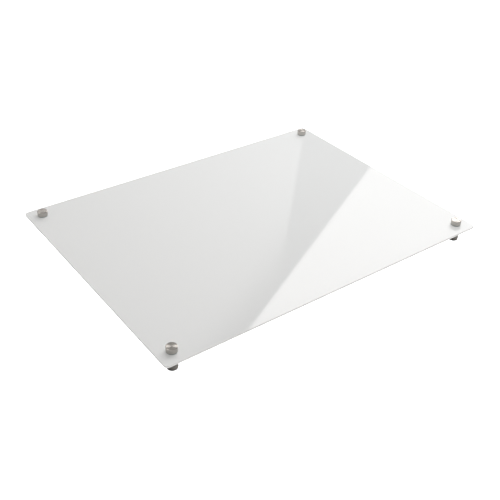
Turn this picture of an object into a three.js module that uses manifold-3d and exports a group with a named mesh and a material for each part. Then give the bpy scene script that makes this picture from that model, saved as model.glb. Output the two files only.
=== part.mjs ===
// Desk privacy panel: a thin white gloss sheet held at its corners by four round metal standoffs.
//
// Each standoff clamps the sheet between a cap and a barrel. A threaded stud is fixed in the cap, passes
// through the sheet inside a plastic bushing, and screws into the top of the barrel. A clear washer lies on
// each face of the sheet, and a rubber pad under the barrel rests on the desk. The base of the barrel has a
// threaded socket for a screw from the other side of the desk or wall.
//
// Millimetres. +X runs along the long side of the sheet, +Y along its short side and +Z up from the surface
// that the pads rest on. The origin is on that surface, under the middle of the sheet. Threads are plain
// cylinders.

import * as THREE from "three";
import { mergeVertices } from "three/addons/utils/BufferGeometryUtils.js";
import Module from "manifold-3d";

const wasm = await Module();
wasm.setup();

// Sheet
const PANEL_WIDTH = 914.4; // along X
const PANEL_DEPTH = 685.8; // along Y
const PANEL_THICKNESS = 4.76;
const PANEL_CORNER_RADIUS = 9.5;
const PANEL_ARRIS = 0.4; // polished chamfer along every edge
const HOLE_INSET = 34.9; // from a hole's centre to both of the nearer edges
const HOLE_DIAMETER = 12.7;

// Standoffs
const STANDOFF_DIAMETER = 25.4;
const STANDOFF_GAP = 38.1; // from the desk to the back of the sheet
const CAP_HEIGHT = 11.6;
const CAP_TOP_CHAMFER = 0.8;
const METAL_ARRIS = 0.35; // chamfer on the other turned edges
const CAP_SOCKET_DEPTH = 8.0;
const SOCKET_WEB = 6.0; // solid metal left between a barrel's two sockets
const SOCKET_MOUTH_CHAMFER = 0.6;

// Stud, an M8 x 1.25 socket set screw
const STUD_DIAMETER = 8.0;
const STUD_LENGTH = 30.0;
const STUD_END_CHAMFER = 0.8;
const STUD_END_ROOM = 2.0; // depth left in the barrel's socket below the stud
const STUD_HEX_ACROSS_FLATS = 4.0;
const STUD_HEX_DEPTH = 4.0;

// Soft parts
const WASHER_THICKNESS = 1.6;
const WASHER_SETBACK = 0.4; // how far a washer or pad stays inside the metal's edge
const PAD_THICKNESS = 2.4;
const PAD_HOLE_DIAMETER = 12.0;

// Clearances, on the radius
const SOCKET_CLEARANCE = 0.2; // between the stud and the two sockets
const BUSHING_BORE_CLEARANCE = 0.3; // between the stud and the bushing, and the stud and the washers
const BUSHING_HOLE_CLEARANCE = 0.2; // between the bushing and the hole in the sheet
const BUSHING_SHORTFALL = 0.3; // the bushing is this much shorter than the sheet is thick

// Facets round a full turn
const TURNED_SEGMENTS = 36;
const HOLE_SEGMENTS = 24;
const CORNER_SEGMENTS = 5;

// Heights above the desk
const barrelBottom = PAD_THICKNESS;
const panelBack = STANDOFF_GAP;
const barrelTop = panelBack - WASHER_THICKNESS;
const panelFront = panelBack + PANEL_THICKNESS;
const capBottom = panelFront + WASHER_THICKNESS;
const studTop = capBottom + CAP_SOCKET_DEPTH;
const studBottom = studTop - STUD_LENGTH;

const barrelLength = barrelTop - barrelBottom;
const topSocketDepth = barrelTop - studBottom + STUD_END_ROOM;
const baseSocketDepth = barrelLength - topSocketDepth - SOCKET_WEB; // takes the fixing screw

const standoffRadius = STANDOFF_DIAMETER / 2;
const studRadius = STUD_DIAMETER / 2;
const socketRadius = studRadius + SOCKET_CLEARANCE;
const washerRadius = standoffRadius - WASHER_SETBACK;
const washerBoreRadius = studRadius + BUSHING_BORE_CLEARANCE;

const FINISHES = {
  gloss_white: new THREE.MeshStandardMaterial({ color: 0xd9d9d7, roughness: 0.06, metalness: 0 }),
  satin_metal: new THREE.MeshStandardMaterial({ color: 0xb9b1a8, roughness: 0.28, metalness: 1 }),
  stud_steel: new THREE.MeshStandardMaterial({ color: 0xa6a6a4, roughness: 0.35, metalness: 1 }),
  clear_washer: new THREE.MeshStandardMaterial({ color: 0x7c8786, roughness: 0.3, metalness: 0 }),
  natural_nylon: new THREE.MeshStandardMaterial({ color: 0xe4e0d2, roughness: 0.5, metalness: 0 }),
  black_rubber: new THREE.MeshStandardMaterial({ color: 0x1c1c1b, roughness: 0.85, metalness: 0 }),
};

/** A mesh with a node's name and one of the finishes. */
function piece(name, geometry, finish) {
  const mesh = new THREE.Mesh(geometry, FINISHES[finish]);
  mesh.name = name;
  return mesh;
}

/** A turned solid about Z. The profile lists [radius, height] pairs and runs anticlockwise. */
function turned(profile, segments = TURNED_SEGMENTS) {
  const points = profile.map(([radius, height]) => new THREE.Vector2(radius, height));
  return new THREE.LatheGeometry(points, segments).rotateX(Math.PI / 2);
}

/** A flat ring or sleeve from height 0 to its thickness. */
function ring(outerRadius, boreRadius, thickness, segments = TURNED_SEGMENTS) {
  return turned(
    [
      [boreRadius, 0],
      [outerRadius, 0],
      [outerRadius, thickness],
      [boreRadius, thickness],
      [boreRadius, 0],
    ],
    segments,
  );
}

/** A geometry as a manifold-3d solid. */
function solidFrom(geometry) {
  const bare = geometry.clone();
  bare.deleteAttribute("normal");
  bare.deleteAttribute("uv");
  const merged = mergeVertices(bare, 1e-4);
  return new wasm.Manifold(
    new wasm.Mesh({
      numProp: 3,
      vertProperties: new Float32Array(merged.attributes.position.array),
      triVerts: new Uint32Array(merged.index.array),
    }),
  );
}

/** A manifold-3d solid as a geometry. */
function geometryFrom(solid) {
  const mesh = solid.getMesh();
  const geometry = new THREE.BufferGeometry();
  geometry.setAttribute("position", new THREE.BufferAttribute(mesh.vertProperties, mesh.numProp));
  geometry.setIndex(new THREE.BufferAttribute(mesh.triVerts, 1));
  return geometry;
}

/** The places of the four standoffs, named as seen from the front. */
function standoffPlaces() {
  const x = PANEL_WIDTH / 2 - HOLE_INSET;
  const y = PANEL_DEPTH / 2 - HOLE_INSET;
  return [
    { corner: "front_left", x: -x, y: -y },
    { corner: "front_right", x: x, y: -y },
    { corner: "back_left", x: -x, y: y },
    { corner: "back_right", x: x, y: y },
  ];
}

/** The sheet: a rounded rectangle with a hole at each corner and a polished arris. */
function makePanel() {
  const halfWidth = PANEL_WIDTH / 2 - PANEL_ARRIS;
  const halfDepth = PANEL_DEPTH / 2 - PANEL_ARRIS;
  const radius = PANEL_CORNER_RADIUS - PANEL_ARRIS;
  const outline = new THREE.Shape();
  outline.absarc(halfWidth - radius, halfDepth - radius, radius, 0, Math.PI / 2);
  outline.absarc(radius - halfWidth, halfDepth - radius, radius, Math.PI / 2, Math.PI);
  outline.absarc(radius - halfWidth, radius - halfDepth, radius, Math.PI, 1.5 * Math.PI);
  outline.absarc(halfWidth - radius, radius - halfDepth, radius, 1.5 * Math.PI, 2 * Math.PI);
  const blank = new THREE.ExtrudeGeometry(outline, {
    depth: PANEL_THICKNESS - 2 * PANEL_ARRIS,
    bevelThickness: PANEL_ARRIS,
    bevelSize: PANEL_ARRIS,
    bevelSegments: 1,
    curveSegments: CORNER_SEGMENTS,
  }).translate(0, 0, panelBack + PANEL_ARRIS);

  const drillLength = 2 * PANEL_THICKNESS;
  const drill = new THREE.CylinderGeometry(
    HOLE_DIAMETER / 2,
    HOLE_DIAMETER / 2,
    drillLength,
    HOLE_SEGMENTS,
  ).rotateX(Math.PI / 2);
  let sheet = solidFrom(blank);
  for (const { x, y } of standoffPlaces()) {
    const cut = drill.clone().translate(x, y, panelBack + PANEL_THICKNESS / 2);
    sheet = sheet.subtract(solidFrom(cut));
  }
  return geometryFrom(sheet);
}

/** The cap: a turned disc with a chamfered face and a blind socket for the stud underneath. */
function makeCap() {
  const mouth = socketRadius + SOCKET_MOUTH_CHAMFER;
  return turned([
    [0, CAP_SOCKET_DEPTH],
    [socketRadius, CAP_SOCKET_DEPTH],
    [socketRadius, SOCKET_MOUTH_CHAMFER],
    [mouth, 0],
    [standoffRadius - METAL_ARRIS, 0],
    [standoffRadius, METAL_ARRIS],
    [standoffRadius, CAP_HEIGHT - CAP_TOP_CHAMFER],
    [standoffRadius - CAP_TOP_CHAMFER, CAP_HEIGHT],
    [0, CAP_HEIGHT],
  ]);
}

/** The stud: a chamfered rod with a hexagon socket in its lower end. */
function makeStud() {
  const rod = turned(
    [
      [0, 0],
      [studRadius - STUD_END_CHAMFER, 0],
      [studRadius, STUD_END_CHAMFER],
      [studRadius, STUD_LENGTH - STUD_END_CHAMFER],
      [studRadius - STUD_END_CHAMFER, STUD_LENGTH],
      [0, STUD_LENGTH],
    ],
    HOLE_SEGMENTS,
  );
  const acrossCorners = STUD_HEX_ACROSS_FLATS / Math.cos(Math.PI / 6);
  const key = new THREE.CylinderGeometry(acrossCorners / 2, acrossCorners / 2, 2 * STUD_HEX_DEPTH, 6);
  return geometryFrom(solidFrom(rod).subtract(solidFrom(key.rotateX(Math.PI / 2))));
}

/** The barrel: a turned post with a blind socket in each end. */
function makeBarrel() {
  const mouth = socketRadius + SOCKET_MOUTH_CHAMFER;
  return turned([
    [0, baseSocketDepth],
    [socketRadius, baseSocketDepth],
    [socketRadius, SOCKET_MOUTH_CHAMFER],
    [mouth, 0],
    [standoffRadius - METAL_ARRIS, 0],
    [standoffRadius, METAL_ARRIS],
    [standoffRadius, barrelLength - METAL_ARRIS],
    [standoffRadius - METAL_ARRIS, barrelLength],
    [mouth, barrelLength],
    [socketRadius, barrelLength - SOCKET_MOUTH_CHAMFER],
    [socketRadius, barrelLength - topSocketDepth],
    [0, barrelLength - topSocketDepth],
  ]);
}

/** A clear washer, alike above and below the sheet. */
function makeWasher() {
  return ring(washerRadius, washerBoreRadius, WASHER_THICKNESS);
}

/** The bushing that keeps the stud off the wall of the hole. */
function makeBushing() {
  const outerRadius = HOLE_DIAMETER / 2 - BUSHING_HOLE_CLEARANCE;
  return ring(outerRadius, washerBoreRadius, PANEL_THICKNESS - BUSHING_SHORTFALL, HOLE_SEGMENTS);
}

/** The rubber pad under the barrel, open in the middle for the fixing screw. */
function makePad() {
  return ring(washerRadius, PAD_HOLE_DIAMETER / 2, PAD_THICKNESS);
}

/** One standoff, with its parts stacked from the desk up. */
function makeStandoff(corner) {
  const stack = [
    [`base_pad_${corner}`, makePad(), "black_rubber", 0],
    [`barrel_${corner}`, makeBarrel(), "satin_metal", barrelBottom],
    [`lower_washer_${corner}`, makeWasher(), "clear_washer", barrelTop],
    [`hole_bushing_${corner}`, makeBushing(), "natural_nylon", panelBack],
    [`upper_washer_${corner}`, makeWasher(), "clear_washer", panelFront],
    [`cap_${corner}`, makeCap(), "satin_metal", capBottom],
    [`cap_stud_${corner}`, makeStud(), "stud_steel", studBottom],
  ];
  const standoff = new THREE.Group();
  for (const [name, geometry, finish, height] of stack) {
    const mesh = piece(name, geometry, finish);
    mesh.position.z = height;
    standoff.add(mesh);
  }
  return standoff;
}

const privacyPanel = new THREE.Group();
privacyPanel.add(piece("panel", makePanel(), "gloss_white"));
for (const { corner, x, y } of standoffPlaces()) {
  const standoff = makeStandoff(corner);
  standoff.position.set(x, y, 0);
  privacyPanel.add(standoff);
}

export default privacyPanel;
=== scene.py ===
"""The finished look of a desk privacy panel: a glossy white sheet on four turned metal standoffs.

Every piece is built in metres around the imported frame, whose nodes give its place and its overall sizes.
The fine features that the frame leaves out, such as threads and turning marks, are made here.
"""

import logging
import math
from dataclasses import dataclass, field
from enum import Enum
from typing import Any, Callable, Iterable, Sequence

import bmesh
import bpy
from mathutils import Matrix, Vector


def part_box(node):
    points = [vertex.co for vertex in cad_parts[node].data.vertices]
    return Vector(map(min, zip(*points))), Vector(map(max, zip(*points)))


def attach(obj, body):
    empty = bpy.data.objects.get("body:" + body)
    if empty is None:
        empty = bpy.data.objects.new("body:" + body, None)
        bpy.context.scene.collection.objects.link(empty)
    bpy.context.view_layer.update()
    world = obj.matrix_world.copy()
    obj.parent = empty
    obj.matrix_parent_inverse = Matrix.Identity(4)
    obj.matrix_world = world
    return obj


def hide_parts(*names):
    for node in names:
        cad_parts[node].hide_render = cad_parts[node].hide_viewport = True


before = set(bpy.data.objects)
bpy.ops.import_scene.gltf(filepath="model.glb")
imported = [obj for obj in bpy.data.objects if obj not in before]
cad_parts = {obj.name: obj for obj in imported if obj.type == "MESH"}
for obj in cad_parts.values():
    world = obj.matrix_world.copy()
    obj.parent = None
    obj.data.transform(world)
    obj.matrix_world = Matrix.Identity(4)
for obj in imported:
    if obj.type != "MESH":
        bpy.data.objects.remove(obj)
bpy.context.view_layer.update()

MM = 0.001
FULL_TURN = 2 * math.pi
UP = Vector((0, 0, 1))

# Points closer than this are one point, and a radius below the second value lies on the axis.
MERGE_DISTANCE = 1e-7
ON_AXIS = 1e-9

# Relief moves only points within this distance of the wall or the face that it is meant for.
SKIN_DEPTH = 0.05 * MM

# How strongly each finer layer of a soft noise shows over the layer before it.
NOISE_ROUGHNESS = 0.55

# An area lamp's watts for each square metre, where its face has a brightness of one.
LAMP_POWER = 4

LOG = logging.getLogger("privacy_panel")

Colour = tuple[float, float, float]
Point = tuple[float, float]


class Corner(Enum):
    """The four standoffs, named as in the frame."""

    FRONT_LEFT = "front_left"
    FRONT_RIGHT = "front_right"
    BACK_LEFT = "back_left"
    BACK_RIGHT = "back_right"


class Body(Enum):
    """The kinds of moving body that a standoff has parts on."""

    FIXED = "panel_and_barrels"
    WASHER = "upper_washer_{corner}"
    CAP = "cap_{corner}"

    def at(self, corner: Corner) -> str:
        """Name the frame's body of this kind at a corner."""
        return self.value.format(corner=corner.value)


class Slot(Enum):
    """The material slots' names."""

    SHEET = "opal_acrylic"
    SATIN_METAL = "satin_nickel_steel"
    STUD = "stud_steel"
    WASHER = "clear_washer"
    BUSHING = "natural_nylon"
    PAD = "black_rubber"


# -------- Node trees --------


class Bench:
    """Builds nodes in one tree, for shaders and for geometry alike."""

    def __init__(self, tree: bpy.types.NodeTree) -> None:
        """Take over a tree and empty it.

        Args:
            tree: The tree that the nodes go into.
        """
        self.tree = tree
        tree.nodes.clear()

    def node(
        self,
        kind: str,
        settings: dict[str, Any] | None = None,
        feeds: dict[str | int, Any] | None = None,
    ) -> bpy.types.Node:
        """Add one node.

        Args:
            kind: The node's type name.
            settings: Its properties, set before its sockets are used.
            feeds: A value, a signal or a socket for each named or numbered input.

        Returns:
            The new node.
        """
        made = self.tree.nodes.new(kind)
        for name, value in (settings or {}).items():
            setattr(made, name, value)
        for key, value in (feeds or {}).items():
            self.feed(made.inputs[key], value)
        return made

    def feed(self, socket: bpy.types.NodeSocket, value: Any) -> None:
        """Link a signal or a socket to an input, or set its value.

        Args:
            socket: The input.
            value: A signal, an output socket or a plain value.
        """
        if isinstance(value, Signal):
            self.tree.links.new(value.socket, socket)
        elif isinstance(value, bpy.types.NodeSocket):
            self.tree.links.new(value, socket)
        else:
            socket.default_value = value

    def signal(self, node: bpy.types.Node, output: str | int = 0) -> "Signal":
        """Wrap one output of a node."""
        return Signal(self, node.outputs[output])

    def maths(self, operation: str, *terms: Any) -> "Signal":
        """Add a Math node over two or three numbers."""
        feeds = dict(enumerate(terms))
        return self.signal(self.node("ShaderNodeMath", {"operation": operation}, feeds))

    def axes(self, vector: Any) -> tuple["Signal", "Signal", "Signal"]:
        """Split a vector into its three numbers."""
        parts = self.node("ShaderNodeSeparateXYZ", None, {0: vector})
        return self.signal(parts, 0), self.signal(parts, 1), self.signal(parts, 2)

    def blend(self, share: Any, first: Any, second: Any) -> "Signal":
        """Mix two colours.

        Args:
            share: The second colour's share, from 0 to 1.
            first: A colour, a signal or a socket.
            second: Another one.

        Returns:
            The mixed colour.
        """
        settings = {"data_type": "RGBA", "blend_type": "MIX", "clamp_factor": True}
        mix = self.node("ShaderNodeMix", settings, {0: share, 6: rgba(first), 7: rgba(second)})
        return self.signal(mix, 2)

    def ramp(self, value: Any, low: float, high: float) -> "Signal":
        """Rise smoothly from 0 to 1 between two values.

        Args:
            value: The number to follow.
            low: Where the rise starts.
            high: Where it ends.

        Returns:
            The share risen.
        """
        settings = {"interpolation_type": "SMOOTHSTEP", "clamp": True}
        feeds = {0: value, 1: low, 2: high, 3: 0.0, 4: 1.0}
        return self.signal(self.node("ShaderNodeMapRange", settings, feeds))


class Signal:
    """A number that a node gives out. Python's operators on it add Math nodes."""

    def __init__(self, bench: Bench, socket: bpy.types.NodeSocket) -> None:
        """Wrap a socket.

        Args:
            bench: The bench whose tree the socket is in.
            socket: The output to wrap.
        """
        self.bench = bench
        self.socket = socket

    def __add__(self, other: Any) -> "Signal":
        """Give self + other."""
        return self.bench.maths("ADD", self, other)

    def __radd__(self, other: float) -> "Signal":
        """Give other + self."""
        return self.bench.maths("ADD", other, self)

    def __sub__(self, other: Any) -> "Signal":
        """Give self - other."""
        return self.bench.maths("SUBTRACT", self, other)

    def __rsub__(self, other: float) -> "Signal":
        """Give other - self."""
        return self.bench.maths("SUBTRACT", other, self)

    def __mul__(self, other: Any) -> "Signal":
        """Give self * other."""
        return self.bench.maths("MULTIPLY", self, other)

    def __rmul__(self, other: float) -> "Signal":
        """Give other * self."""
        return self.bench.maths("MULTIPLY", other, self)

    def __truediv__(self, other: Any) -> "Signal":
        """Give self / other."""
        return self.bench.maths("DIVIDE", self, other)

    def __lt__(self, other: Any) -> "Signal":
        """Give 1 where self is below other, and 0 elsewhere."""
        return self.bench.maths("LESS_THAN", self, other)

    def __abs__(self) -> "Signal":
        """Give the size of self without its sign."""
        return self.bench.maths("ABSOLUTE", self)

    def cosine(self) -> "Signal":
        """Give the cosine of self."""
        return self.bench.maths("COSINE", self)

    def held(self, low: float, high: float) -> "Signal":
        """Give self, held between two limits."""
        return self.bench.maths("MAXIMUM", self.bench.maths("MINIMUM", self, high), low)


def rgba(colour: Any) -> Any:
    """Add full opacity to a plain colour.

    Args:
        colour: Three numbers, a signal or a socket.

    Returns:
        Four numbers, or the signal or socket as it is.
    """
    if isinstance(colour, tuple) and len(colour) == 3:
        return (*colour, 1.0)
    return colour


def hypotenuse(first: Signal, second: Signal) -> Signal:
    """Give the distance that two lengths at right angles make."""
    return first.bench.maths("SQRT", first * first + second * second)


# -------- Finishes --------


@dataclass(frozen=True)
class Finish:
    """What every finish shares: a name, a base colour and a range of roughness."""

    name: str
    colour: Colour
    smooth: float
    rough: float

    def material(self, label: str, centre: Vector) -> bpy.types.Material:
        """Make the finish's material.

        Args:
            label: Added to the material's name.
            centre: The point that the pattern is centred on.

        Returns:
            The material, with its nodes built.
        """
        made = bpy.data.materials.new(f"{self.name}_{label}")
        made.use_nodes = True
        made.diffuse_color = rgba(self.colour)
        bench = Bench(made.node_tree)
        here = bench.signal(bench.node("ShaderNodeTexCoord"), "Object")
        shift = {"Vector": here, "Location": tuple(-centre)}
        local = bench.signal(bench.node("ShaderNodeMapping", {"vector_type": "POINT"}, shift))
        shader = self.shader(bench, local)
        bench.node("ShaderNodeOutputMaterial", None, {"Surface": shader.outputs[0]})
        return made

    def shader(self, bench: Bench, local: Signal) -> bpy.types.Node:
        """Build the surface shader. Each finish has its own."""
        raise NotImplementedError

    @staticmethod
    def speckle(bench: Bench, where: Any, scale: float, detail: float = 2.0) -> Signal:
        """Give soft three-dimensional noise from 0 to 1."""
        feeds = {"Vector": where, "Scale": scale, "Detail": detail, "Roughness": NOISE_ROUGHNESS}
        return bench.signal(bench.node("ShaderNodeTexNoise", {"noise_dimensions": "3D"}, feeds))

    @staticmethod
    def bump(bench: Bench, height: Signal, strength: float, distance: float) -> Signal:
        """Turn a height into a bent normal."""
        feeds = {"Strength": strength, "Distance": distance, "Height": height}
        return bench.signal(bench.node("ShaderNodeBump", None, feeds))


@dataclass(frozen=True)
class PolishedAcrylic(Finish):
    """Opal cast acrylic with a mirror-like face and flame-polished edges."""

    edge_colour: Colour
    edge_roughness: float
    low: float
    high: float
    rim: float = 0.3 * MM
    cloud_scale: float = 3.0
    cloud_shade: float = 0.985
    streak_scale: float = 160.0
    streak_detail: float = 4.0
    streak_stretch: tuple[float, float, float] = (2.0, 14.0, 1.0)
    streak_angle: float = 24.0
    smear_range: tuple[float, float] = (0.2, 0.5)
    refraction: float = 1.49
    glow_share: float = 0.12
    glow_depth: float = 2.0 * MM

    def shader(self, bench: Bench, local: Signal) -> bpy.types.Node:
        """Build the shader: even white, faint wiping marks, and duller edges.

        Args:
            bench: The bench of the material's tree.
            local: The place from the pattern's centre.

        Returns:
            The surface shader.
        """
        _, _, height = bench.axes(local)
        middle = (self.low + self.high) / 2
        reach = (self.high - self.low) / 2
        edge = abs(height - middle) < reach - self.rim
        clouds = self.speckle(bench, local, self.cloud_scale)
        angle = (0, 0, math.radians(self.streak_angle))
        stretch = {"Vector": local, "Scale": self.streak_stretch, "Rotation": angle}
        wiped = bench.signal(bench.node("ShaderNodeMapping", {"vector_type": "TEXTURE"}, stretch))
        streaks = self.speckle(bench, wiped, self.streak_scale, self.streak_detail)
        tint = tuple(channel * self.cloud_shade for channel in self.colour)
        face = bench.blend(clouds, self.colour, tint)
        smear = bench.ramp(streaks * clouds, *self.smear_range)
        roughness = self.smooth + (self.rough - self.smooth) * smear
        feeds = {
            "Base Color": bench.blend(edge, face, self.edge_colour),
            "Roughness": roughness + edge * (self.edge_roughness - self.rough),
            "IOR": self.refraction,
            "Subsurface Weight": self.glow_share,
            "Subsurface Radius": (1.0, 1.0, 1.0),
            "Subsurface Scale": self.glow_depth,
        }
        return bench.node("ShaderNodeBsdfPrincipled", {"subsurface_method": "RANDOM_WALK"}, feeds)


@dataclass(frozen=True)
class TurnedMetal(Finish):
    """Metal turned on a lathe: fine rings round the axis, on flat faces and on the sides alike."""

    shade: Colour
    ring_pitch: float
    ring_strength: float
    ring_detail: float = 3.0
    ring_roughness: float = 0.6
    ring_depth: float = 0.02 * MM
    haze_scale: float = 900.0
    haze_detail: float = 3.0
    haze_share: float = 0.4
    haze_height: float = 0.3
    worn_scale: float = 90.0
    worn_range: tuple[float, float] = (0.3, 0.7)
    worn_share: float = 0.2

    def shader(self, bench: Bench, local: Signal) -> bpy.types.Node:
        """Build the shader: a ring pattern along the profile, with a thin haze over it.

        Args:
            bench: The bench of the material's tree.
            local: The place from the pattern's centre, on the turning axis.

        Returns:
            The surface shader.
        """
        x, y, z = bench.axes(local)
        travel = (hypotenuse(x, y) + z) / self.ring_pitch
        feeds = {"W": travel, "Scale": 1.0, "Detail": self.ring_detail, "Roughness": self.ring_roughness}
        rings = bench.signal(bench.node("ShaderNodeTexNoise", {"noise_dimensions": "1D"}, feeds))
        haze = self.speckle(bench, local, self.haze_scale, self.haze_detail)
        worn = bench.ramp(self.speckle(bench, local, self.worn_scale), *self.worn_range)
        dulled = rings * (1 - self.haze_share) + haze * self.haze_share
        shaded = rings * (1 - self.worn_share) + worn * self.worn_share
        height = rings + haze * self.haze_height
        feeds = {
            "Base Color": bench.blend(shaded, self.shade, self.colour),
            "Metallic": 1.0,
            "Roughness": self.smooth + (self.rough - self.smooth) * dulled,
            "Normal": self.bump(bench, height, self.ring_strength, self.ring_depth),
        }
        return bench.node("ShaderNodeBsdfPrincipled", None, feeds)


@dataclass(frozen=True)
class Moulded(Finish):
    """Plastic or rubber from a mould: slightly clouded, with a fine grain."""

    shade: Colour
    grain: float
    grain_strength: float
    grain_detail: float = 4.0
    grain_depth: float = 0.05 * MM
    mottle_scale: float = 260.0
    mottle_detail: float = 3.0
    mottle_range: tuple[float, float] = (0.3, 0.7)
    refraction: float = 1.5

    def shader(self, bench: Bench, local: Signal) -> bpy.types.Node:
        """Build the shader: mottled colour and grain.

        Args:
            bench: The bench of the material's tree.
            local: The place from the pattern's centre.

        Returns:
            The surface shader.
        """
        mottle = self.speckle(bench, local, self.mottle_scale, self.mottle_detail)
        grain = self.speckle(bench, local, self.grain, self.grain_detail)
        mottled = bench.ramp(mottle, *self.mottle_range)
        feeds = {
            "Base Color": bench.blend(mottled, self.shade, self.colour),
            "Roughness": self.smooth + (self.rough - self.smooth) * grain,
            "IOR": self.refraction,
            "Normal": self.bump(bench, grain, self.grain_strength, self.grain_depth),
        }
        return bench.node("ShaderNodeBsdfPrincipled", None, feeds)


SATIN_NICKEL = TurnedMetal(
    name="satin_nickel",
    colour=(0.52, 0.498, 0.468),
    smooth=0.12,
    rough=0.25,
    shade=(0.43, 0.41, 0.385),
    ring_pitch=0.11 * MM,
    ring_strength=0.25,
)
BRIGHT_ZINC = TurnedMetal(
    name="bright_zinc",
    colour=(0.62, 0.63, 0.64),
    smooth=0.18,
    rough=0.42,
    shade=(0.50, 0.50, 0.49),
    ring_pitch=0.2 * MM,
    ring_strength=0.3,
)
CLEAR_PLASTIC = Moulded(
    name="clear_plastic",
    colour=(0.36, 0.43, 0.42),
    smooth=0.22,
    rough=0.42,
    shade=(0.30, 0.36, 0.355),
    grain=1500.0,
    grain_strength=0.1,
)
NATURAL_NYLON = Moulded(
    name="natural_nylon",
    colour=(0.74, 0.71, 0.61),
    smooth=0.38,
    rough=0.6,
    shade=(0.66, 0.63, 0.53),
    grain=1200.0,
    grain_strength=0.2,
)
BLACK_RUBBER = Moulded(
    name="black_rubber",
    colour=(0.026, 0.026, 0.024),
    smooth=0.62,
    rough=0.9,
    shade=(0.016, 0.016, 0.015),
    grain=2400.0,
    grain_strength=0.5,
)


# -------- Relief made with Geometry Nodes --------


class Relief:
    """A Geometry Nodes tree that moves the skin of a turned piece by a rule.

    Each kind of relief says how far a point moves. The tree has one named input for each size.
    """

    name = "relief"
    sizes: tuple[str, ...] = ()

    def __init__(self) -> None:
        """Build the tree once, ready for any number of pieces."""
        self.tree = bpy.data.node_groups.new(self.name, "GeometryNodeTree")
        face = self.tree.interface
        face.new_socket("Geometry", in_out="INPUT", socket_type="NodeSocketGeometry")
        face.new_socket("Centre", in_out="INPUT", socket_type="NodeSocketVector")
        for size in self.sizes:
            face.new_socket(size, in_out="INPUT", socket_type="NodeSocketFloat")
        face.new_socket("Material", in_out="INPUT", socket_type="NodeSocketMaterial")
        face.new_socket("Geometry", in_out="OUTPUT", socket_type="NodeSocketGeometry")
        bench = Bench(self.tree)
        given = bench.node("NodeGroupInput")
        values = {size: bench.signal(given, size) for size in self.sizes}
        position = bench.node("GeometryNodeInputPosition")
        from_centre = bench.node(
            "ShaderNodeVectorMath",
            {"operation": "SUBTRACT"},
            {0: position.outputs[0], 1: given.outputs["Centre"]},
        )
        move = self.move(bench, bench.axes(from_centre.outputs[0]), values)
        feeds = {"Geometry": given.outputs["Geometry"], "Offset": move}
        moved = bench.node("GeometryNodeSetPosition", None, feeds)
        whole = bench.node("GeometryNodeRealizeInstances", None, {"Geometry": moved.outputs[0]})
        feeds = {"Geometry": whole.outputs[0], "Material": given.outputs["Material"]}
        dressed = bench.node("GeometryNodeSetMaterial", None, feeds)
        bench.node("NodeGroupOutput", None, {0: dressed.outputs[0]})

    def move(
        self, bench: Bench, local: tuple[Signal, Signal, Signal], size: dict[str, Signal]
    ) -> bpy.types.NodeSocket:
        """Give the offset of a point. Each kind has its own.

        Args:
            bench: The bench of the relief's tree.
            local: The point's place from the centre.
            size: The tree's named inputs.

        Returns:
            The offset, as a vector.
        """
        raise NotImplementedError

    def cut(
        self,
        piece: bpy.types.Object,
        centre: Vector,
        material: bpy.types.Material,
        **sizes: float,
    ) -> None:
        """Move a piece's skin and keep the result as its plain mesh.

        Args:
            piece: The piece, not yet evaluated.
            centre: The point on the turning axis that places are measured from.
            material: The material that the tree sets.
            sizes: A value for each of the tree's named sizes.
        """
        modifier = piece.modifiers.new(self.name, "NODES")
        modifier.node_group = self.tree
        given = {"Centre": tuple(centre), "Material": material, **sizes}
        for item in self.tree.interface.items_tree:
            if item.in_out == "INPUT" and item.name in given:
                modifier[item.identifier] = given[item.name]
        graph = bpy.context.evaluated_depsgraph_get()
        plain = piece.data
        finished = bpy.data.meshes.new_from_object(
            piece.evaluated_get(graph), preserve_all_data_layers=True, depsgraph=graph
        )
        piece.modifiers.remove(modifier)
        piece.data = finished
        finished.name = piece.name
        bpy.data.meshes.remove(plain)


class Thread(Relief):
    """A right-hand screw thread, cut into a rod or raised in a bore."""

    name = "screw_thread"
    sizes = ("Pitch", "Depth", "Wall", "Low", "High", "Fade")
    easing = 0.2

    def move(
        self, bench: Bench, local: tuple[Signal, Signal, Signal], size: dict[str, Signal]
    ) -> bpy.types.NodeSocket:
        """Move the skin towards the axis by a wave that climbs one pitch a turn.

        Args:
            bench: The bench of the relief's tree.
            local: The point's place from the centre.
            size: The tree's named inputs.

        Returns:
            The offset, as a vector.
        """
        x, y, z = local
        radius = hypotenuse(x, y)
        angle = bench.maths("ARCTAN2", y, x)
        phase = z / size["Pitch"] - angle / FULL_TURN
        wave = 0.5 + 0.5 * (phase * FULL_TURN).cosine()
        on_wall = abs(radius - size["Wall"]) < SKIN_DEPTH
        start = bench.maths("SMOOTH_MIN", (z - size["Low"]) / size["Fade"], 1.0, self.easing)
        end = bench.maths("SMOOTH_MIN", (size["High"] - z) / size["Fade"], 1.0, self.easing)
        whole = bench.maths("MAXIMUM", start, 0.0) * bench.maths("MAXIMUM", end, 0.0)
        inwards = -1.0 * wave * whole * on_wall * size["Depth"] / radius
        feeds = {0: inwards * x, 1: inwards * y, 2: 0.0}
        return bench.node("ShaderNodeCombineXYZ", None, feeds).outputs[0]


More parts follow.
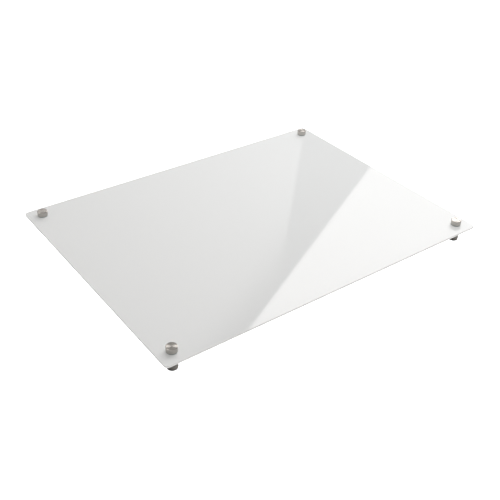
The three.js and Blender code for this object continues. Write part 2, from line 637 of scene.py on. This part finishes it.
class TurningMarks(Relief):
    """Concentric tool marks on a flat turned face."""

    name = "turning_marks"
    sizes = ("Spacing", "Depth", "Reach", "Level")

    def move(
        self, bench: Bench, local: tuple[Signal, Signal, Signal], size: dict[str, Signal]
    ) -> bpy.types.NodeSocket:
        """Lower the face by a wave that repeats at each spacing from the axis.

        Args:
            bench: The bench of the relief's tree.
            local: The point's place from the centre.
            size: The tree's named inputs.

        Returns:
            The offset, as a vector.
        """
        x, y, z = local
        radius = hypotenuse(x, y)
        wave = 0.5 - 0.5 * (radius / size["Spacing"] * FULL_TURN).cosine()
        on_face = (abs(z - size["Level"]) < SKIN_DEPTH) * (radius < size["Reach"])
        drop = -1.0 * wave * on_face * size["Depth"]
        feeds = {0: 0.0, 1: 0.0, 2: drop}
        return bench.node("ShaderNodeCombineXYZ", None, feeds).outputs[0]


# -------- Mesh making --------


@dataclass(frozen=True)
class Stop:
    """One corner of a turned profile, with the radius that rounds it and the spacing of rows after it."""

    radius: float
    height: float
    rounding: float = 0.0
    spacing: float = 0.0


def rounded_profile(stops: Sequence[Stop], closed: bool, steps: int = 4) -> list[Point]:
    """Round a profile's corners and fill its long stretches with rows.

    Args:
        stops: The corners, in order.
        closed: Whether the last corner joins the first.
        steps: Segments in each rounding.

    Returns:
        Pairs of radius and height.
    """
    points: list[Point] = []
    count = len(stops)
    for index, stop in enumerate(stops):
        here = Vector((stop.radius, stop.height))
        inner = closed or 0 < index < count - 1
        if stop.rounding and inner:
            before = stops[index - 1]
            after = stops[(index + 1) % count]
            back = (Vector((before.radius, before.height)) - here).normalized()
            ahead = (Vector((after.radius, after.height)) - here).normalized()
            half = back.angle(ahead) / 2
            length = stop.rounding / math.tan(half)
            hub = here + (back + ahead).normalized() * (stop.rounding / math.sin(half))
            first = here + back * length - hub
            last = here + ahead * length - hub
            sweep = first.angle_signed(last)
            for step in range(steps + 1):
                turn = Matrix.Rotation(-sweep * step / steps, 2)
                points.append(tuple(hub + turn @ first))
        else:
            points.append((stop.radius, stop.height))
        if stop.spacing:
            after = stops[(index + 1) % count]
            start = Vector(points[-1])
            way = Vector((after.radius, after.height)) - start
            rows = max(1, round(way.length / stop.spacing))
            points.extend(tuple(start + way * row / rows) for row in range(1, rows))
    return points


def finish_mesh(name: str, shape: bmesh.types.BMesh, crisp: float = 28.0) -> bpy.types.Object:
    """Turn a bmesh into a shaded object.

    Args:
        name: The object's name.
        shape: The closed shape, which is freed.
        crisp: Edges that bend by more than this many degrees stay sharp.

    Returns:
        The object, linked to the scene.
    """
    bmesh.ops.remove_doubles(shape, verts=shape.verts, dist=MERGE_DISTANCE)
    bmesh.ops.recalc_face_normals(shape, faces=shape.faces)
    for face in shape.faces:
        face.smooth = True
    for edge in shape.edges:
        edge.smooth = edge.calc_face_angle(0.0) < math.radians(crisp)
    mesh = bpy.data.meshes.new(name)
    shape.to_mesh(mesh)
    shape.free()
    made = bpy.data.objects.new(name, mesh)
    bpy.context.scene.collection.objects.link(made)
    return made


def turn(
    name: str, centre: Vector, profile: Iterable[Point], segments: int, closed: bool = False
) -> bpy.types.Object:
    """Turn a profile about a vertical axis.

    Args:
        name: The object's name.
        centre: A point on the axis, at the profile's zero height.
        profile: Pairs of radius and height. An open profile starts and ends on the axis.
        segments: Facets round the axis.
        closed: Whether the profile joins back to its start, as for a ring.

    Returns:
        The turned piece.
    """
    shape = bmesh.new()
    rows = []
    for radius, height in profile:
        if radius < ON_AXIS:
            rows.append([shape.verts.new(centre + UP * height)] * segments)
            continue
        row = []
        for step in range(segments):
            angle = FULL_TURN * step / segments
            out = Vector((math.cos(angle), math.sin(angle), 0.0))
            row.append(shape.verts.new(centre + out * radius + UP * height))
        rows.append(row)
    pairs = list(zip(rows, rows[1:]))
    if closed:
        pairs.append((rows[-1], rows[0]))
    for lower, upper in pairs:
        for step in range(segments):
            ahead = (step + 1) % segments
            corners = dict.fromkeys((lower[step], lower[ahead], upper[ahead], upper[step]))
            if len(corners) > 2:
                shape.faces.new(list(corners))
    return finish_mesh(name, shape)


def bridge(shape: bmesh.types.BMesh, lower: list[Any], upper: list[Any]) -> None:
    """Join two rings with a band of faces.

    Args:
        shape: The shape that both rings are in.
        lower: One ring's points.
        upper: The other's, as many and in the same order.
    """
    count = len(lower)
    for step in range(count):
        ahead = (step + 1) % count
        shape.faces.new((lower[step], lower[ahead], upper[ahead], upper[step]))


def place(piece: bpy.types.Object, body: str, slot: Slot, *nodes: str) -> None:
    """Put a finished piece on its body, and let it stand for its nodes.

    Args:
        piece: The finished piece.
        body: The body that it moves with.
        slot: Not used.
        nodes: The frame's nodes that it stands for.
    """
    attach(piece, body)
    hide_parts(*nodes)
    LOG.info("%s: %d faces, on %s", piece.name, len(piece.data.polygons), body)


# -------- The sheet --------


@dataclass
class Sheet:
    """The acrylic sheet, with rounded corners, a polished arris and a hole for each standoff."""

    corner_radius: float = 9.5 * MM
    arris: float = 0.4 * MM
    hole_radius: float = 6.35 * MM
    hole_arris: float = 0.25 * MM
    corner_steps: int = 24
    arris_steps: int = 4
    hole_segments: int = 96
    crisp: float = 60.0
    level: float = 0.999

    def build(self, holes: Sequence[Vector]) -> bpy.types.Object:
        """Build and dress the sheet.

        Args:
            holes: The centres of the holes.

        Returns:
            The sheet.
        """
        low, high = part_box("panel")
        shape = bmesh.new()
        outer = self.wall(shape, low, high, self.arris, lambda inset: self.outline(low, high, inset))
        rings = [outer]
        for hole in holes:
            circle = self.circle_round(hole)
            rings.append(self.wall(shape, low, high, self.hole_arris, circle))
        for side in (0, -1):
            loops = [ring[side] for ring in rings]
            edges = [
                shape.edges.get((loop[step], loop[(step + 1) % len(loop)]))
                for loop in loops
                for step in range(len(loop))
            ]
            bmesh.ops.triangle_fill(shape, edges=edges, use_beauty=True)
        sheet = self.settle(shape)
        finish = PolishedAcrylic(
            name="opal_acrylic",
            colour=(0.808, 0.794, 0.774),
            smooth=0.01,
            rough=0.035,
            edge_colour=(0.80, 0.79, 0.77),
            edge_roughness=0.12,
            low=low.z,
            high=high.z,
        )
        sheet.data.materials.append(finish.material("sheet", Vector((0, 0, 0))))
        place(sheet, Body.FIXED.value, Slot.SHEET, "panel")
        return sheet

    def settle(self, shape: bmesh.types.BMesh) -> bpy.types.Object:
        """Make the sheet's object, with its two large faces dead flat and its edges smooth.

        Args:
            shape: The closed shape, which is freed.

        Returns:
            The sheet, not yet dressed.
        """
        sheet = finish_mesh("sheet", shape, crisp=self.crisp)
        for polygon in sheet.data.polygons:
            if abs(polygon.normal.z) > self.level:
                polygon.use_smooth = False
        return sheet

    def wall(
        self,
        shape: bmesh.types.BMesh,
        low: Vector,
        high: Vector,
        arris: float,
        ring_at: Callable[[float], list[Point]],
    ) -> list[list[Any]]:
        """Build one wall from the back face to the front face, with both of its edges rounded.

        Args:
            shape: The shape to add to.
            low: The sheet's lowest corner.
            high: The sheet's highest corner.
            arris: The radius of the rounded edges.
            ring_at: Gives the wall's outline, moved into the material by an inset.

        Returns:
            The rings of points, from the back to the front.
        """
        levels = []
        for step in range(self.arris_steps + 1):
            angle = math.pi / 2 * step / self.arris_steps
            levels.append((arris * (1 - math.sin(angle)), arris * (1 - math.cos(angle))))
        below = [(inset, low.z + rise) for inset, rise in levels]
        above = [(inset, high.z - rise) for inset, rise in reversed(levels)]
        rings = []
        for inset, height in below + above:
            rings.append([shape.verts.new((x, y, height)) for x, y in ring_at(inset)])
        for lower, upper in zip(rings, rings[1:]):
            bridge(shape, lower, upper)
        return rings

    def outline(self, low: Vector, high: Vector, inset: float) -> list[Point]:
        """Give the rounded rectangle.

        Args:
            low: The sheet's lowest corner.
            high: The sheet's highest corner.
            inset: How far the outline is shrunk.

        Returns:
            The outline's points, in order.
        """
        radius = self.corner_radius - inset
        middle = (low + high) / 2
        reach_x = (high.x - low.x) / 2 - self.corner_radius
        reach_y = (high.y - low.y) / 2 - self.corner_radius
        points = []
        for quarter, (side_x, side_y) in enumerate(((1, 1), (-1, 1), (-1, -1), (1, -1))):
            for step in range(self.corner_steps + 1):
                angle = math.pi / 2 * (quarter + step / self.corner_steps)
                x = middle.x + side_x * reach_x + radius * math.cos(angle)
                y = middle.y + side_y * reach_y + radius * math.sin(angle)
                points.append((x, y))
        return points

    def circle_round(self, hole: Vector) -> Callable[[float], list[Point]]:
        """Give a function for a hole's outline.

        Args:
            hole: The hole's centre.

        Returns:
            A function that takes an inset, and gives the circle widened by it.
        """

        def ring_at(inset: float) -> list[Point]:
            """Give the circle at one inset.

            Args:
                inset: How far the circle is widened.

            Returns:
                The circle's points, in order.
            """
            points = []
            for step in range(self.hole_segments):
                angle = FULL_TURN * step / self.hole_segments
                radius = self.hole_radius + inset
                points.append((hole.x + radius * math.cos(angle), hole.y + radius * math.sin(angle)))
            return points

        return ring_at


# -------- A standoff --------


@dataclass
class Standoff:
    """One standoff: pad, barrel, two washers, bushing, cap and stud."""

    corner: Corner
    thread: Thread
    marks: TurningMarks
    segments: int = 96
    stud_segments: int = 48
    pitch: float = 1.25 * MM
    thread_depth: float = 0.62 * MM
    thread_rows: int = 12
    face_chamfer: float = 0.8 * MM
    arris: float = 0.35 * MM
    rounding: float = 0.12 * MM
    socket_radius: float = 4.2 * MM
    mouth: float = 0.6 * MM
    cap_socket: float = 8.0 * MM
    top_socket: float = 16.04 * MM
    base_socket: float = 12.06 * MM
    stud_chamfer: float = 0.8 * MM
    mark_spacing: float = 0.34 * MM
    mark_depth: float = 0.038 * MM
    mark_rows: int = 4
    washer_bore: float = 4.3 * MM
    washer_rounding: float = 0.25 * MM
    bushing_rounding: float = 0.3 * MM
    pad_bore: float = 6.0 * MM
    pad_rounding: float = 0.35 * MM

    def build(self) -> None:
        """Build and dress every piece of the standoff, from the desk up."""
        low, high = self.box("barrel")
        self.axis = Vector(((low.x + high.x) / 2, (low.y + high.y) / 2, 0.0))
        self.metal = SATIN_NICKEL.material(self.corner.value, self.axis)
        self.pad()
        self.barrel()
        self.washer("lower_washer", Body.FIXED)
        self.bushing()
        self.washer("upper_washer", Body.WASHER)
        self.cap()
        self.stud()

    def node(self, part: str) -> str:
        """Name the frame's node for one of this standoff's parts."""
        return f"{part}_{self.corner.value}"

    def box(self, part: str) -> tuple[Vector, Vector]:
        """Give the box of one of this standoff's parts."""
        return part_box(self.node(part))

    def size_of(self, part: str) -> tuple[Vector, float, float]:
        """Measure one of this standoff's parts.

        Args:
            part: The part's name, without the corner.

        Returns:
            Its foot on the axis, its outer radius and its height.
        """
        low, high = self.box(part)
        foot = Vector((self.axis.x, self.axis.y, low.z))
        return foot, (high.x - low.x) / 2, high.z - low.z

    def settle(self, piece: bpy.types.Object, part: str, body: Body, slot: Slot) -> None:
        """Put a finished part in its place."""
        place(piece, body.at(self.corner), slot, self.node(part))

    def ring(
        self, part: str, bore: float, rounding: float, finish: Finish, body: Body, slot: Slot
    ) -> None:
        """Build a plain ring with rounded edges.

        Args:
            part: The frame's part that the ring stands for.
            bore: The radius of its hole.
            rounding: The radius of its edges.
            finish: What it is made of.
            body: The body that it moves with.
            slot: The material slot for it.
        """
        foot, radius, height = self.size_of(part)
        stops = [
            Stop(bore, 0, rounding),
            Stop(radius, 0, rounding),
            Stop(radius, height, rounding),
            Stop(bore, height, rounding),
        ]
        piece = turn(
            f"{part}_ring_{self.corner.value}",
            foot,
            rounded_profile(stops, closed=True),
            self.segments,
            closed=True,
        )
        piece.data.materials.append(finish.material(self.node(part), self.axis))
        self.settle(piece, part, body, slot)

    def pad(self) -> None:
        """Build the rubber pad."""
        self.ring("base_pad", self.pad_bore, self.pad_rounding, BLACK_RUBBER, Body.FIXED, Slot.PAD)

    def washer(self, part: str, body: Body) -> None:
        """Build one of the two clear washers."""
        self.ring(part, self.washer_bore, self.washer_rounding, CLEAR_PLASTIC, body, Slot.WASHER)

    def bushing(self) -> None:
        """Build the sleeve inside the sheet's hole."""
        bore, rounding = self.washer_bore, self.bushing_rounding
        self.ring("hole_bushing", bore, rounding, NATURAL_NYLON, Body.FIXED, Slot.BUSHING)

    def barrel(self) -> None:
        """Build the barrel, with a thread in the socket at its base."""
        foot, radius, height = self.size_of("barrel")
        wall = self.socket_radius
        row = self.pitch / self.thread_rows
        stops = [
            Stop(0, self.base_socket),
            Stop(wall, self.base_socket, 0, row),
            Stop(wall, self.mouth),
            Stop(wall + self.mouth, 0),
            Stop(radius - self.arris, 0, self.rounding),
            Stop(radius, self.arris, self.rounding),
            Stop(radius, height - self.arris, self.rounding),
            Stop(radius - self.arris, height, self.rounding),
            Stop(wall + self.mouth, height),
            Stop(wall, height - self.mouth),
            Stop(wall, height - self.top_socket),
            Stop(0, height - self.top_socket),
        ]
        name = f"turned_barrel_{self.corner.value}"
        piece = turn(name, foot, rounded_profile(stops, closed=False), self.segments)
        self.thread.cut(
            piece,
            foot,
            self.metal,
            Pitch=self.pitch,
            Depth=self.thread_depth,
            Wall=wall,
            Low=self.mouth,
            High=self.base_socket,
            Fade=self.pitch,
        )
        self.settle(piece, "barrel", Body.FIXED, Slot.SATIN_METAL)

    def cap(self) -> None:
        """Build the cap, with turning marks on its face."""
        foot, radius, height = self.size_of("cap")
        face = radius - self.face_chamfer
        wall = self.socket_radius
        stops = [
            Stop(0, self.cap_socket),
            Stop(wall, self.cap_socket),
            Stop(wall, self.mouth),
            Stop(wall + self.mouth, 0),
            Stop(radius - self.arris, 0, self.rounding),
            Stop(radius, self.arris, self.rounding),
            Stop(radius, height - self.face_chamfer, self.rounding),
            Stop(face, height, self.rounding, self.mark_spacing / self.mark_rows),
            Stop(0, height),
        ]
        name = f"turned_cap_{self.corner.value}"
        piece = turn(name, foot, rounded_profile(stops, closed=False), self.segments)
        self.marks.cut(
            piece,
            foot,
            self.metal,
            Spacing=self.mark_spacing,
            Depth=self.mark_depth,
            Reach=face - self.mark_spacing / 2,
            Level=height,
        )
        self.settle(piece, "cap", Body.CAP, Slot.SATIN_METAL)

    def stud(self) -> None:
        """Build the threaded stud."""
        foot, radius, height = self.size_of("cap_stud")
        row = self.pitch / self.thread_rows
        stops = [
            Stop(0, 0),
            Stop(radius - self.stud_chamfer, 0),
            Stop(radius, self.stud_chamfer, 0, row),
            Stop(radius, height - self.stud_chamfer),
            Stop(radius - self.stud_chamfer, height),
            Stop(0, height),
        ]
        name = f"threaded_stud_{self.corner.value}"
        piece = turn(name, foot, rounded_profile(stops, closed=False), self.stud_segments)
        self.thread.cut(
            piece,
            foot,
            BRIGHT_ZINC.material(self.corner.value, self.axis),
            Pitch=self.pitch,
            Depth=self.thread_depth,
            Wall=radius,
            Low=self.stud_chamfer,
            High=height - self.stud_chamfer,
            Fade=self.pitch / 2,
        )
        self.settle(piece, "cap_stud", Body.CAP, Slot.STUD)


# -------- The studio --------


def heading(azimuth: float, elevation: float) -> Vector:
    """Give the direction at an azimuth, from +Y towards +X, and an elevation, both in degrees."""
    turned, raised = math.radians(azimuth), math.radians(elevation)
    flat = math.cos(raised)
    return Vector((math.sin(turned) * flat, math.cos(turned) * flat, math.sin(raised)))


@dataclass(frozen=True)
class Rig:
    """A camera or a lamp that looks along a heading, with a roll about it."""

    place: tuple[float, float, float]
    azimuth: float
    elevation: float
    roll: float

    def matrix(self) -> Matrix:
        """Give the world matrix whose -Z axis is the heading."""
        ahead = heading(self.azimuth, self.elevation)
        right = ahead.cross(UP).normalized()
        above = right.cross(ahead)
        turn_by = Matrix.Rotation(math.radians(self.roll), 3, ahead)
        right, above = turn_by @ right, turn_by @ above
        axes = Matrix((right, above, -ahead)).transposed().to_4x4()
        return Matrix.Translation(self.place) @ axes


# Two lamps hang here. One throws shadows, and the other, which throws none, softens them.
OVERHEAD = Rig(place=(1.063, 0.285, 1.8), azimuth=-105.0, elevation=-58.0, roll=0.0)


@dataclass(frozen=True)
class Lamp:
    """A square lamp of even brightness that shines on surfaces but isn't mirrored in them."""

    name: str
    rig: Rig
    size: float
    radiance: float
    shadows: bool
    colour: Colour = (0.96, 1.0, 1.03)

    def light(self) -> None:
        """Add the lamp, bright enough to look as bright as its radiance says."""
        data = bpy.data.lights.new(self.name, "AREA")
        data.shape = "SQUARE"
        data.size = self.size
        data.energy = self.radiance * LAMP_POWER * self.size**2
        data.color = self.colour
        data.use_shadow = self.shadows
        lamp = bpy.data.objects.new(self.name, data)
        lamp.matrix_world = self.rig.matrix()
        lamp.visible_camera = False
        lamp.visible_glossy = False
        bpy.context.scene.collection.objects.link(lamp)


@dataclass(frozen=True)
class Way:
    """The direction whose brightness is asked for, in three parts, with the bench of the world's tree."""

    bench: Bench
    x: Signal
    y: Signal
    z: Signal

    def above(self, heights: Point) -> Signal:
        """Rise from 0 to 1 as the direction climbs from one height to another."""
        return self.bench.ramp(self.z, *heights)

    def facing(self, azimuth: float, spread: Point) -> Signal:
        """Tell how far the direction faces an azimuth.

        Args:
            azimuth: The azimuth, in degrees.
            spread: The level parts along the azimuth that give 0 and 1.

        Returns:
            The share, from 0 to 1.
        """
        ahead = heading(azimuth, 0.0)
        return self.bench.ramp(self.x * ahead.x + self.y * ahead.y, *spread)


@dataclass(frozen=True)
class Edge:
    """The edge of a pale screen, which crosses the horizon at an azimuth and leans over."""

    azimuth: float
    lean: float
    softness: float

    def beyond(self, way: Way) -> Signal:
        """Tell the two sides of the edge apart.

        Args:
            way: The direction.

        Returns:
            1 on the clockwise side of the edge, and 0 on the other.
        """
        turned, leaned = math.radians(self.azimuth), math.radians(self.lean)
        flat = math.cos(leaned)
        across = way.x * (math.cos(turned) * flat) - way.y * (math.sin(turned) * flat)
        return way.bench.ramp(across + way.z * math.sin(leaned), -self.softness, self.softness)


@dataclass
class Surroundings:
    """What the room shows in each direction: a pale wall, a bright screen, a ceiling and a fill.

    A height here is the upward part of a direction: 0 at the horizon and 1 straight up. A pair of them is
    the stretch over which something comes or goes.
    """

    tint: Colour = (1.015, 0.995, 0.98)
    dim: float = 0.04
    soft_share: float = 0.235
    horizon: Point = (-0.02, 0.02)
    foot: float = 0.45
    foot_top: Point = (0.28, 0.42)
    wall_rise: float = 2.74
    wall_drop: float = 0.506
    wall_top: Point = (0.665, 0.76)
    wall_edges: tuple[Edge, ...] = (Edge(44.0, 5.0, 0.003), Edge(61.06, 27.18, 0.03))
    screen_glow: float = 1.7
    screen_gain: float = 2.0
    gain_start: float = 0.44
    gain_reach: float = 0.19
    screen_foot: float = 1.5
    screen_foot_top: Point = (0.38, 0.45)
    screen_top: Point = (0.66, 0.74)
    screen_edge: Edge = Edge(61.93, 25.86, 0.003)
    screen_end: Edge = Edge(84.0, 0.0, 0.06)
    zenith: float = 0.65
    zenith_start: Point = (0.89, 0.97)
    fill: float = 0.6
    fill_azimuth: float = 217.0
    fill_spread: Point = (0.0, 0.4)
    below: float = 0.12
    bounce: float = 0.28
    bounce_azimuth: float = 100.0
    bounce_spread: Point = (-1.0, 1.0)
    skirting: float = 0.5
    skirting_foot: Point = (-0.48, -0.22)

    def build(self) -> None:
        """Make the world: these surroundings, and plain white where the camera looks past everything."""
        world = bpy.data.worlds.new("studio")
        world.use_nodes = True
        bpy.context.scene.world = world
        bench = Bench(world.node_tree)
        way = Way(bench, *bench.axes(bench.signal(bench.node("ShaderNodeTexCoord"), "Generated")))
        below = self.underneath(way)
        lit = below + (self.overground(way) - below) * way.above(self.horizon)
        rays = bench.node("ShaderNodeLightPath")
        lit = lit * (1 - (1 - self.soft_share) * bench.signal(rays, "Is Diffuse Ray"))
        room = bench.node("ShaderNodeBackground", None, {"Color": rgba(self.tint), "Strength": lit})
        feeds = {"Color": (1.0, 1.0, 1.0, 1.0), "Strength": 1.0}
        backdrop = bench.node("ShaderNodeBackground", None, feeds)
        feeds = {0: rays.outputs["Is Camera Ray"], 1: room.outputs[0], 2: backdrop.outputs[0]}
        mix = bench.node("ShaderNodeMixShader", None, feeds)
        bench.node("ShaderNodeOutputWorld", None, {"Surface": mix.outputs[0]})

    def overground(self, way: Way) -> Signal:
        """Give the brightness above the horizon.

        Args:
            way: The direction.

        Returns:
            The brightness in that direction.
        """
        lift = way.above(self.foot_top)
        wall = (self.wall_rise * way.z - self.wall_drop) * lift * (1 - way.above(self.wall_top))
        for edge in self.wall_edges:
            wall = wall * (1 - edge.beyond(way))
        ceiling = self.zenith * way.above(self.zenith_start)
        fill = self.fill * lift * way.facing(self.fill_azimuth, self.fill_spread)
        return self.dim + self.foot * (1 - lift) + wall + self.screen(way) + fill + ceiling

    def screen(self, way: Way) -> Signal:
        """Give the brightness of the screen, which grows with height.

        Args:
            way: The direction.

        Returns:
            The screen's brightness in that direction.
        """
        gain = ((way.z - self.gain_start) / self.gain_reach).held(0.0, 1.0)
        foot = self.screen_foot * (1 - way.above(self.screen_foot_top))
        screen = self.screen_glow + self.screen_gain * gain + foot
        screen = screen * (1 - way.above(self.screen_top))
        return screen * self.screen_edge.beyond(way) * (1 - self.screen_end.beyond(way))

    def underneath(self, way: Way) -> Signal:
        """Give the brightness below the horizon: a bounce from one side, and a paler skirting.

        Args:
            way: The direction.

        Returns:
            The brightness in that direction.
        """
        bounced = self.bounce * way.facing(self.bounce_azimuth, self.bounce_spread)
        return self.below + bounced + self.skirting * way.above(self.skirting_foot)


@dataclass
class Studio:
    """Floor, surroundings, lamps and camera."""

    camera: Rig = Rig((-1.0081, -1.3154, 1.0855), 37.53, -34.42, -1.99)
    focal_length: float = 55.64
    sensor_width: float = 36.0
    sight: float = 100.0
    floor_size: float = 24.0
    floor_drop: float = 0.2 * MM
    floor_colour: Colour = (0.9, 0.9, 0.9)
    floor_roughness: float = 0.9
    floor_glow: float = 0.85
    surroundings: Surroundings = field(default_factory=Surroundings)
    lamps: tuple[Lamp, ...] = (
        Lamp(name="key", rig=OVERHEAD, size=2.4, radiance=0.895, shadows=True),
        Lamp(name="soft_key", rig=OVERHEAD, size=2.4, radiance=1.52, shadows=False),
    )

    def build(self) -> None:
        """Set up everything round the object."""
        self.make_camera()
        self.make_floor()
        self.surroundings.build()
        for lamp in self.lamps:
            lamp.light()
        scene = bpy.context.scene
        scene.view_settings.view_transform = "Standard"
        scene.view_settings.look = "None"

    def make_camera(self) -> None:
        """Add the camera and make it the scene's."""
        data = bpy.data.cameras.new("camera")
        data.sensor_width = self.sensor_width
        data.lens = self.focal_length
        data.clip_end = self.sight
        camera = bpy.data.objects.new("camera", data)
        camera.matrix_world = self.camera.matrix()
        bpy.context.scene.collection.objects.link(camera)
        bpy.context.scene.camera = camera

    def make_floor(self) -> None:
        """Add the pale floor, a hair under the pads."""
        half = self.floor_size / 2
        depth = -self.floor_drop
        corners = [(-half, -half, depth), (half, -half, depth), (half, half, depth), (-half, half, depth)]
        mesh = bpy.data.meshes.new("floor")
        mesh.from_pydata(corners, [], [(0, 1, 2, 3)])
        floor = bpy.data.objects.new("floor", mesh)
        bpy.context.scene.collection.objects.link(floor)
        floor.visible_glossy = False
        paper = bpy.data.materials.new("floor_paper")
        paper.use_nodes = True
        bench = Bench(paper.node_tree)
        feeds = {
            "Base Color": rgba(self.floor_colour),
            "Roughness": self.floor_roughness,
            "Specular IOR Level": 0.0,
            "Emission Color": (1.0, 1.0, 1.0, 1.0),
            "Emission Strength": self.floor_glow,
        }
        shader = bench.node("ShaderNodeBsdfPrincipled", None, feeds)
        bench.node("ShaderNodeOutputMaterial", None, {"Surface": shader.outputs[0]})
        mesh.materials.append(paper)


def main() -> None:
    """Build the studio, the sheet and the four standoffs."""
    logging.basicConfig(level=logging.INFO, format="%(name)s: %(message)s")
    Studio().build()
    thread, marks = Thread(), TurningMarks()
    standoffs = [Standoff(corner, thread, marks) for corner in Corner]
    for standoff in standoffs:
        standoff.build()
    Sheet().build([standoff.axis for standoff in standoffs])


if __name__ == "__main__":
    main()
